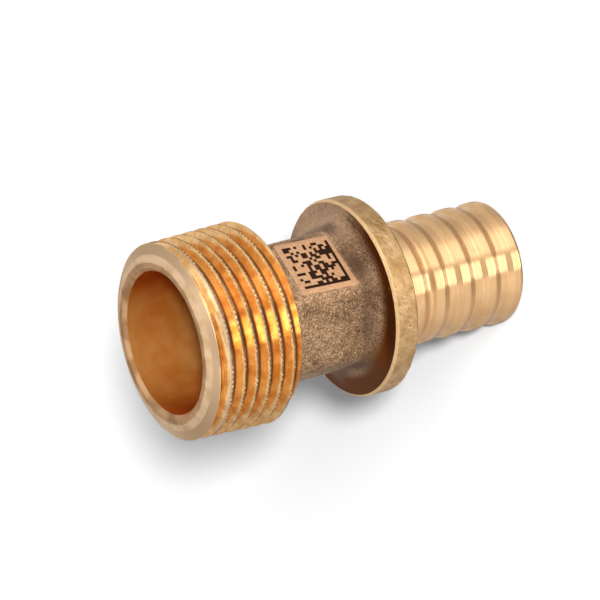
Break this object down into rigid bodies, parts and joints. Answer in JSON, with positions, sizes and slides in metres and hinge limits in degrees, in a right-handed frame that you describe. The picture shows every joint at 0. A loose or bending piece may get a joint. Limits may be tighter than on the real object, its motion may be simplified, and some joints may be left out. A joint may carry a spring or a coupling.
{
  "type": "pipe adapter",
  "caption": "Straight brass pipe adapter: tapered male pipe thread, hexagonal neck, round collar and a ribbed tail for plastic pipe, open right through.",
  "frame": {"origin": "centre of the ribbed tail's free end, on the surface that the part stands on", "axes": "+Z along the waterway from the ribbed tail to the thread's face, -Y out of the marked flat of the hexagonal neck"},
  "size_m": [0.0266, 0.0266, 0.051],
  "materials": {
    "brass": "cast and machined"
  },
  "bodies": {
    "root": {"adapter_body": "brass"}
  },
  "joints": []
}
